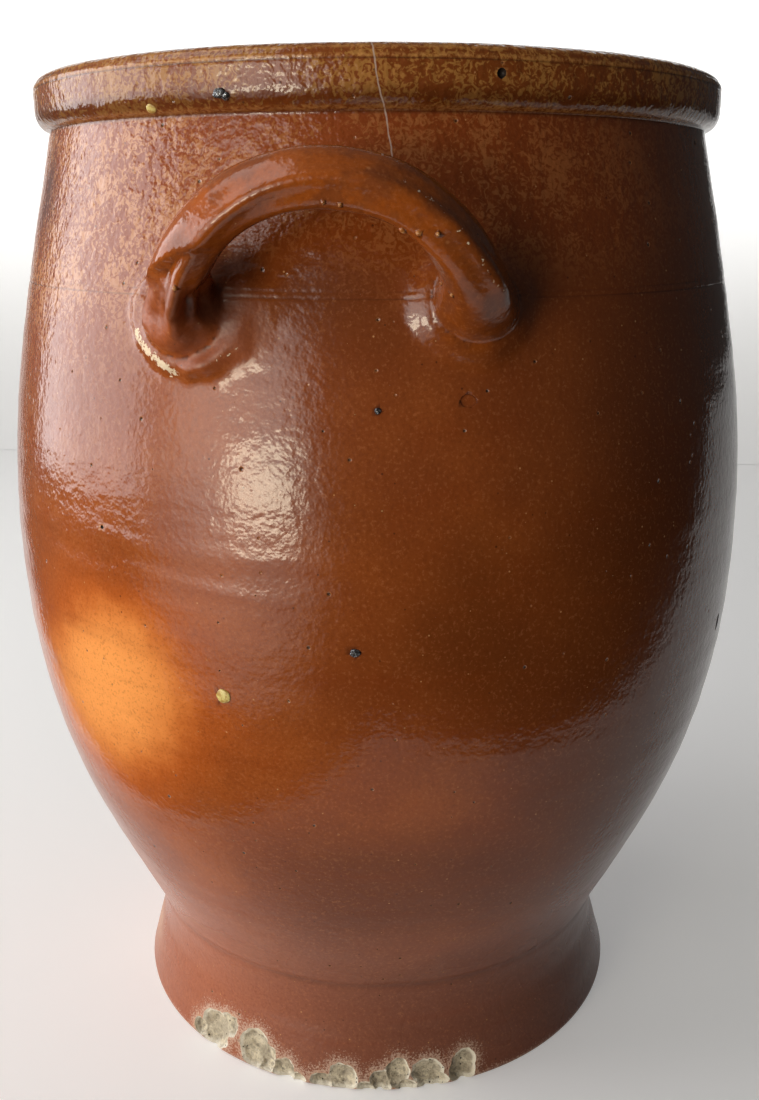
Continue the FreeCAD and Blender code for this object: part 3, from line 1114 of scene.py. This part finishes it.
def glaze_material(material, crack_ends):
    """Salt glaze with mottles, pits, a crack, tears and worn edges, and an orange-peel skin."""
    n, place = start_material(material)
    mottle, rim = n.value_of("mottle"), n.value_of("rim")
    color = glaze_color(n, place)
    ground = n.mix(n.times(mottle, 0.7), color, n.mix(rim, srgb(136, 62, 20), srgb(122, 62, 20)))
    # Painted light: the freckle tan is a lighter copy on the lit left and darker elsewhere
    tan = n.mix(n.value_of("leftward"), srgb(160, 96, 50), srgb(190, 132, 88))
    tan = n.mix(rim, tan, srgb(170, 118, 58))
    freckled = n.times(glaze_freckles(n, place), mottle)

    # Pits and tiny dots, dark and pale
    pits, = n.spots(place, 7.5, 0.95, 0.85)
    pits = n.times(pits, n.minus(1.0, n.times(n.value_of("roll"), 0.85)))
    dots, pale_dots = n.spots(place, 4.2, 0.6, 0.5, sets=2)

    # Glaze thin on sharp edges, rubbed near the chips and along the foot, and torn at one root, with a
    # painted highlight line along that root's pad
    rub_noise = n.noise(place, 1.5, 2, 0.7)
    fine_rub = n.noise(place, 0.8, 2, 0.75)
    thin = n.times(n.value_of("thin"), n.ramp(rub_noise, 0.35, 0.6))
    rubbed = n.ramp(n.plus(fine_rub, n.times(n.value_of("worn"), 0.40)), 0.72, 0.94)
    bare = n.ramp(n.plus(n.times(rub_noise, 2.4), n.value_of("torn")), 1.92, 2.12)
    color = n.layered(ground, (
        (freckled, 0.85, tan),
        (n.value_of("smoke"), 0.75, srgb(74, 66, 72)),
        # Painted highlight: a pale ring round each pit
        (n.ramp(pits, 0.0, 0.12), 0.3, srgb(206, 144, 92)),
        (n.ramp(pits, 0.15, 0.5), 0.85, srgb(44, 22, 14)),
        (n.ramp(dots, 0.1, 0.5), 0.7, srgb(64, 30, 16)),
        (n.ramp(pale_dots, 0.2, 0.7), 0.7, srgb(206, 152, 98)),
        # Painted shade under the rim and beside the left root, and glaze gathered dark with painted shade
        # in hollows and the crease
        (n.value_of("pooled_and_shade"), 0.72, srgb(60, 24, 9)),
        (thin, 0.6, srgb(202, 146, 84)),
        (rubbed, 0.7, srgb(204, 176, 156)),
        (bare, 1.0, n.mix(rub_noise, srgb(206, 170, 130), srgb(246, 232, 204))),
        (crack_share(n, place, crack_ends), 0.7, srgb(196, 174, 160)),
    ))

    # Orange peel on slow swells, with pits sunk in it
    peel = n.times(n.noise(place, 1.8, 1, 0.5), n.plus(1.8, n.times(mottle, 2.8)))
    swell = n.times(n.noise(place, 5.0, 1, 0.5), n.plus(2.6, n.times(mottle, 5.0)))
    height = n.minus(n.plus(peel, swell), n.times(pits, 9.0))
    rough = n.plus(0.09, n.times(n.noise(place, 26, 1, 0.6), 0.14))
    for share, more in ((n.value_of("rosy"), 0.12), (n.value_of("scorched"), 0.24), (bare, 0.5)):
        rough = n.plus(rough, n.times(share, more))
    rough = n.plus(rough, n.times(rubbed, 0.35), clamp=True)
    shine = n.minus(0.46, n.times(n.value_of("lower"), 0.25))
    skin = n.bump(peel_relief, height)
    finish_material(n, Base_Color=color, Roughness=rough, Normal=skin, IOR=1.5, Specular_IOR_Level=shine)


def clay_material(material):
    """Broken stoneware: dry, cream grey, with sand and small dark holes, pale along the broken edge, and
    with painted shade in its hollows.
    """
    n, place = start_material(material)
    stain = n.noise(place, 6, 4, 0.65)
    grain = n.noise(place, 0.8, 3, 0.75)
    holes, = n.spots(place, 1.9, 0.5, 0.6)
    edge = n.ramp(n.plus(n.value_of("worn"), n.times(grain, 0.2)), 0.84, 0.98)
    color = n.layered(n.mix(n.ramp(stain, 0.38, 0.62), srgb(180, 168, 146), srgb(226, 214, 188)), (
        (n.ramp(grain, 0.45, 0.75), 0.55, srgb(134, 122, 112)),
        # Painted shade in the hollows of the breaks
        (n.value_of("pooled_and_shade"), 0.45, srgb(92, 84, 78)),
        (edge, 0.85, srgb(240, 233, 216)),
        (n.ramp(holes, 0.05, 0.4), 1.0, srgb(48, 42, 38)),
    ))
    height = n.minus(n.plus(n.times(grain, 1.4), n.times(stain, 4.0)), n.times(holes, 2.0))
    finish_material(n, Base_Color=color, Roughness=0.9, Normal=n.bump(clay_relief, height))


def dark_material(material):
    """Bottom of a pit, scorched and glassy."""
    n, place = start_material(material)
    color = n.mix(n.noise(place, 1.2, 2), srgb(18, 12, 10), srgb(58, 40, 32))
    finish_material(n, Base_Color=color, Roughness=0.55, Normal=n.bump(0.0001, n.noise(place, 0.6, 2)))


def slag_material(material):
    """Speck of iron slag: near black, with bright glassy points."""
    n, place = start_material(material)
    grain = n.noise(place, 0.7, 3, 0.6)
    bright = n.ramp(grain, 0.5, 0.62)
    color = n.mix(bright, srgb(34, 32, 32), srgb(176, 180, 184))
    finish_material(n, Base_Color=color, Roughness=0.25, Metallic=bright, Normal=n.bump(0.0002, grain))


def fleck_material(material):
    """Fleck of pale yellow ash glaze."""
    n, place = start_material(material)
    color = n.mix(n.ramp(n.noise(place, 1.6, 3), 0.4, 0.65), srgb(176, 140, 70), srgb(222, 204, 128))
    finish_material(n, Base_Color=color, Roughness=0.3, Normal=n.bump(0.00005, n.noise(place, 0.8, 2)))


def paper_material():
    """Pale matt paper. Camera and mirror rays also see a glow, which is stronger up the back."""
    material = bpy.data.materials.new("paper")
    n, place = start_material(material)
    matt = n.add("ShaderNodeBsdfDiffuse", Color=(0.835, 0.825, 0.806, 1.0))
    height = n.add("ShaderNodeSeparateXYZ", "Z", Vector=place)
    glow = n.plus(0.26, n.times(n.ramp(height, 0.0, 0.6), 0.55))
    path = n.add("ShaderNodeLightPath", "Is Camera Ray").node.outputs
    seen = n.plus(path["Is Camera Ray"], path["Is Glossy Ray"])
    seen = n.plus(seen, path["Is Transmission Ray"], clamp=True)
    light = n.add("ShaderNodeEmission", Strength=n.times(seen, glow))
    both = n.add("ShaderNodeAddShader", _0=matt, _1=light)
    output = n.tree.nodes.new("ShaderNodeOutputMaterial")
    n.tree.links.new(both, output.inputs["Surface"])
    return material


def stage_sheet(name, rows, columns, place, material):
    """Grid of faces from a function of row and column."""
    points = [place(i, j) for i in range(rows) for j in range(columns)]
    starts = [i * columns + j for i in range(rows - 1) for j in range(columns - 1)]
    faces = [(k, k + 1, k + columns + 1, k + columns) for k in starts]
    mesh = bpy.data.meshes.new(name)
    mesh.from_pydata(points, [], faces)
    mesh.polygons.foreach_set("use_smooth", np.ones(len(faces), dtype=bool))
    mesh.materials.append(material)
    made = bpy.data.objects.new(name, mesh)
    bpy.context.scene.collection.objects.link(made)


# Table, by its front corner and its turn, and the paper behind it, in metres
table_corner = (0.046, -0.428)
table_turn = math.radians(39)
table_side = 6.0
sweep_start = 1.2
sweep_round = 1.0
sweep_left = -1.45
sweep_width = 2.35
wall_step = 0.3


def build_stage():
    """Pale table with a corner in front of the pot, and pale paper that sweeps up behind it."""
    paper = paper_material()

    def floor_place(i, j):
        along, back = table_side * i / 4, table_side * j / 4
        x = table_corner[0] + along * math.cos(table_turn) - back * math.sin(table_turn)
        y = table_corner[1] + along * math.sin(table_turn) + back * math.cos(table_turn)
        return (x, y, 0.0)

    def sweep_place(i, j):
        across = sweep_left + sweep_width * j / 4
        turn = math.radians(min(i, 18) * 5)
        back = sweep_start + sweep_round * math.sin(turn)
        return (across, back, 0.001 + sweep_round * (1 - math.cos(turn)) + wall_step * max(i - 18, 0))

    stage_sheet("floor", 5, 5, floor_place, paper)
    stage_sheet("sweep", 24, 5, sweep_place, paper)


def soft_lamp(name, place, target, size, power, color):
    """Rectangular soft lamp that faces a point."""
    light = bpy.data.lights.new(name, "AREA")
    light.shape = "RECTANGLE"
    light.size, light.size_y = size
    light.energy = power
    light.color = color
    lamp = bpy.data.objects.new(name, light)
    lamp.location = place
    lamp.rotation_euler = (Vector(target) - Vector(place)).to_track_quat("-Z", "Y").to_euler()
    lamp.visible_camera = False
    bpy.context.scene.collection.objects.link(lamp)


def around_pot(turn, distance, height):
    """Place at an angle from -Y towards +X, a distance from the axis and a height, in metres."""
    return (distance * math.sin(math.radians(turn)), -distance * math.cos(math.radians(turn)), height)


# Soft lamps at the left like two windows, and another high above them:
# name, place, point they face, size, power and colour
middle_of_pot = (0.0, 0.0, 0.25)
lamps = [
    ("window_left", around_pot(-88, 1.5, 0.55), middle_of_pot, (1.45, 1.0), 16.5, (0.98, 0.98, 1.0)),
    ("window_front", around_pot(-27, 1.75, 0.25), middle_of_pot, (0.56, 0.28), 6.4, (1.0, 0.88, 0.64)),
    ("high_left", (-1.0, -0.25, 1.6), (0, 0, 0.2), (1.0, 1.0), 6.0, (1.0, 1.0, 1.0)),
]

# Bright patches of the room: direction, nearness where each starts and is full, and strength
room_patches = [
    ((-0.627, -0.774, -0.087), 0.84, 0.95, 1.3),
    ((-0.608, -0.778, 0.156), 0.90, 0.98, 2.0),
]


def bright_patch(n, direction, toward, low, high):
    """Soft round patch of the room about a direction."""
    nearness = n.add("ShaderNodeVectorMath", "Value", operation="DOT_PRODUCT", _0=direction, _1=toward)
    return n.ramp(nearness, low, high)


def build_room():
    """Dim room, lighter to the left, with two soft bright patches at the left front."""
    world = bpy.data.worlds.new("room")
    bpy.context.scene.world = world
    world.use_nodes = True
    world.node_tree.nodes.clear()
    n = Nodes(world.node_tree)
    direction = n.add("ShaderNodeTexCoord", "Generated")
    axes = n.add("ShaderNodeSeparateXYZ", "X", Vector=direction).node.outputs
    strength = n.plus(0.05, n.times(n.ramp(axes["X"], 0.6, -0.9), 0.15))
    strength = n.times(strength, n.plus(0.4, n.times(n.ramp(axes["Z"], -0.2, 0.1), 0.6)))
    for toward, low, high, power in room_patches:
        strength = n.plus(strength, n.times(bright_patch(n, direction, toward, low, high), power))
    sky = n.add("ShaderNodeBackground", Color=(1.0, 0.98, 0.95, 1.0), Strength=strength)
    output = n.tree.nodes.new("ShaderNodeOutputWorld")
    n.tree.links.new(sky, output.inputs["Surface"])


def build_light():
    for lamp in lamps:
        soft_lamp(*lamp)
    build_room()


def build_camera():
    camera_data = bpy.data.cameras.new("camera")
    camera_data.sensor_fit = "AUTO"
    camera_data.sensor_width = 36.0
    camera_data.lens = camera_data.sensor_width * focal_pixels / picture_height
    camera_data.shift_x = (picture_width / 2 - middle_pixel[0]) / picture_height
    camera_data.shift_y = (middle_pixel[1] - picture_height / 2) / picture_height
    camera_data.clip_start = 0.02
    camera = bpy.data.objects.new("camera", camera_data)
    camera.location = camera_place * MM
    camera.rotation_euler = (math.pi / 2 - camera_tilt, 0.0, camera_turn)
    bpy.context.scene.collection.objects.link(camera)
    bpy.context.scene.camera = camera


def main():
    pot, crack_ends = build_pot()
    glaze_material(materials[GLAZE], crack_ends)
    clay_material(materials[CLAY])
    dark_material(materials[DARK])
    slag_material(materials[SLAG])
    fleck_material(materials[FLECK])
    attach(pot, "root")
    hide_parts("pot")
    build_stage()
    build_light()
    build_camera()
    bpy.context.scene.view_settings.view_transform = "Standard"
    triangles = sum(len(p.vertices) - 2 for p in pot.data.polygons)
    print("faces", len(pot.data.polygons), "triangles", triangles)


materials = [bpy.data.materials.new(name) for name in ("glaze", "clay", "dark_clay", "slag", "pale_fleck")]
main()
